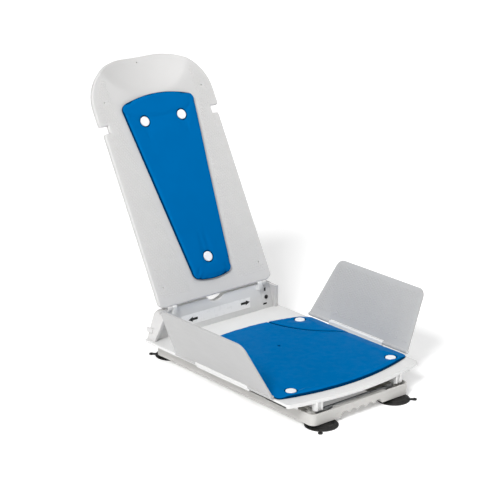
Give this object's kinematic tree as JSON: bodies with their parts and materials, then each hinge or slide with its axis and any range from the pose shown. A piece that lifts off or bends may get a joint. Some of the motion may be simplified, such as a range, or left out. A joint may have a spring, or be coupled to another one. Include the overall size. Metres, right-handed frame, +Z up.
{
  "type": "bath lift",
  "caption": "Bath lift: suction-cup base, spindle-driven scissor frame, padded seat with folding side flaps and a reclining padded backrest.",
  "frame": {"origin": "on the floor under the middle of the base tray", "axes": "+X to the sitter's left, -Y to the front, +Z up"},
  "size_m": [0.5484, 0.8386, 0.6627],
  "materials": {
    "ivory_plastic": "moulded, fine satin grain",
    "white_plastic": "moulded, smooth satin",
    "panel_plastic": "moulded, dotted grip texture on the side bands",
    "flap_plastic": "moulded, dotted grip texture on the inner face",
    "blue_pad": "soft closed-cell pad with a smooth skin",
    "button_plastic": "smooth semi-gloss",
    "black_rubber": "smooth black rubber",
    "steel": "bright drawn steel",
    "arm_paint": "powder-coated",
    "motor_paint": "dark paint",
    "drive_plastic": "grey engineering plastic",
    "label_film": "plain film with arrows only"
  },
  "bodies": {
    "base": {"base_tray": "ivory_plastic", "suction_cup_front_left": "black_rubber", "suction_cup_front_right": "black_rubber", "suction_cup_rear_left": "black_rubber", "suction_cup_rear_right": "black_rubber", "base_track_left": "steel", "base_track_right": "steel", "rest_buffers": "black_rubber", "front_lower_axle": "steel", "motor": "motor_paint", "gearbox": "drive_plastic", "spindle_bearing": "drive_plastic"},
    "spindle": {"spindle": "steel"},
    "outer_arms": {"outer_arm_left": "arm_paint", "outer_arm_right": "arm_paint", "centre_pin_left": "steel", "centre_pin_right": "steel"},
    "inner_arms": {"inner_arm_left": "arm_paint", "inner_arm_right": "arm_paint"},
    "upper_carriage": {"upper_axle": "steel", "upper_slide_left": "drive_plastic", "upper_slide_right": "drive_plastic"},
    "lower_carriage": {"crosshead": "drive_plastic", "lower_axle_left": "steel", "lower_axle_right": "steel", "lower_slide_left": "drive_plastic", "lower_slide_right": "drive_plastic"},
    "seat": {"seat_deck": "white_plastic", "seat_track_left": "steel", "seat_track_right": "steel", "seat_pad": "blue_pad", "seat_pad_buttons": "button_plastic", "rear_block": "white_plastic", "end_cap_left": "white_plastic", "end_cap_right": "white_plastic", "label_plate": "label_film", "control_inlet": "black_rubber", "flap_pin_left": "steel", "flap_pin_right": "steel", "backrest_pin_left": "steel", "backrest_pin_right": "steel", "front_upper_axle": "steel"},
    "flap_left": {"flap_left": "flap_plastic"},
    "flap_right": {"flap_right": "flap_plastic"},
    "latch_left": {"latch_left": "drive_plastic"},
    "latch_right": {"latch_right": "drive_plastic"},
    "backrest": {"backrest_panel": "panel_plastic", "backrest_hinge_left": "panel_plastic", "backrest_hinge_right": "panel_plastic", "backrest_pad": "blue_pad", "backrest_pad_buttons": "button_plastic", "hinge_screws": "steel"}
  },
  "joints": [
    {"name": "lift", "type": "hinge", "parent": "base", "child": "outer_arms", "pos_m": [0, -0.248, 0.024], "axis": [1, 0, 0], "range_deg": [0, 55]},
    {"name": "centre_pivot", "type": "hinge", "parent": "outer_arms", "child": "inner_arms", "pos_m": [0, -0.00833, 0.0365], "axis": [1, 0, 0], "range_deg": [-111, 1]},
    {"name": "seat_pivot", "type": "hinge", "parent": "inner_arms", "child": "seat", "pos_m": [0, -0.248, 0.049], "axis": [1, 0, 0], "range_deg": [-1, 56]},
    {"name": "upper_slide_pivot", "type": "hinge", "parent": "outer_arms", "child": "upper_carriage", "pos_m": [0, 0.23135, 0.049], "axis": [1, 0, 0], "range_deg": [-56, 1]},
    {"name": "lower_slide_pivot", "type": "hinge", "parent": "inner_arms", "child": "lower_carriage", "pos_m": [0, 0.23135, 0.024], "axis": [1, 0, 0], "range_deg": [-1, 56]},
    {"name": "spindle_spin", "type": "hinge", "parent": "base", "child": "spindle", "pos_m": [0, 0.1, 0.024], "axis": [0, 1, 0], "continuous": true},
    {"name": "backrest_recline", "type": "hinge", "parent": "seat", "child": "backrest", "pos_m": [0, 0.2243, 0.1374], "axis": [-1, 0, 0], "range_deg": [-115, 15]},
    {"name": "flap_left_fold", "type": "hinge", "parent": "seat", "child": "flap_left", "pos_m": [-0.203, -0.045, 0.072], "axis": [0, 1, 0], "range_deg": [-62, 106]},
    {"name": "flap_right_fold", "type": "hinge", "parent": "seat", "child": "flap_right", "pos_m": [0.203, -0.045, 0.072], "axis": [0, -1, 0], "range_deg": [-62, 106]},
    {"name": "latch_left_pull", "type": "slide", "parent": "seat", "child": "latch_left", "axis": [-1, 0, 0], "range_m": [0, 0.008], "stiffness_N_per_m": 250, "springref_m": -0.004},
    {"name": "latch_right_pull", "type": "slide", "parent": "seat", "child": "latch_right", "axis": [1, 0, 0], "range_m": [0, 0.008], "stiffness_N_per_m": 250, "springref_m": -0.004}
  ],
  "couplings": [
    {"joint": "centre_pivot", "follows": "lift", "ratio": -2},
    {"joint": "seat_pivot", "follows": "lift", "ratio": 1},
    {"joint": "upper_slide_pivot", "follows": "lift", "ratio": -1},
    {"joint": "lower_slide_pivot", "follows": "lift", "ratio": 1}
  ]
}
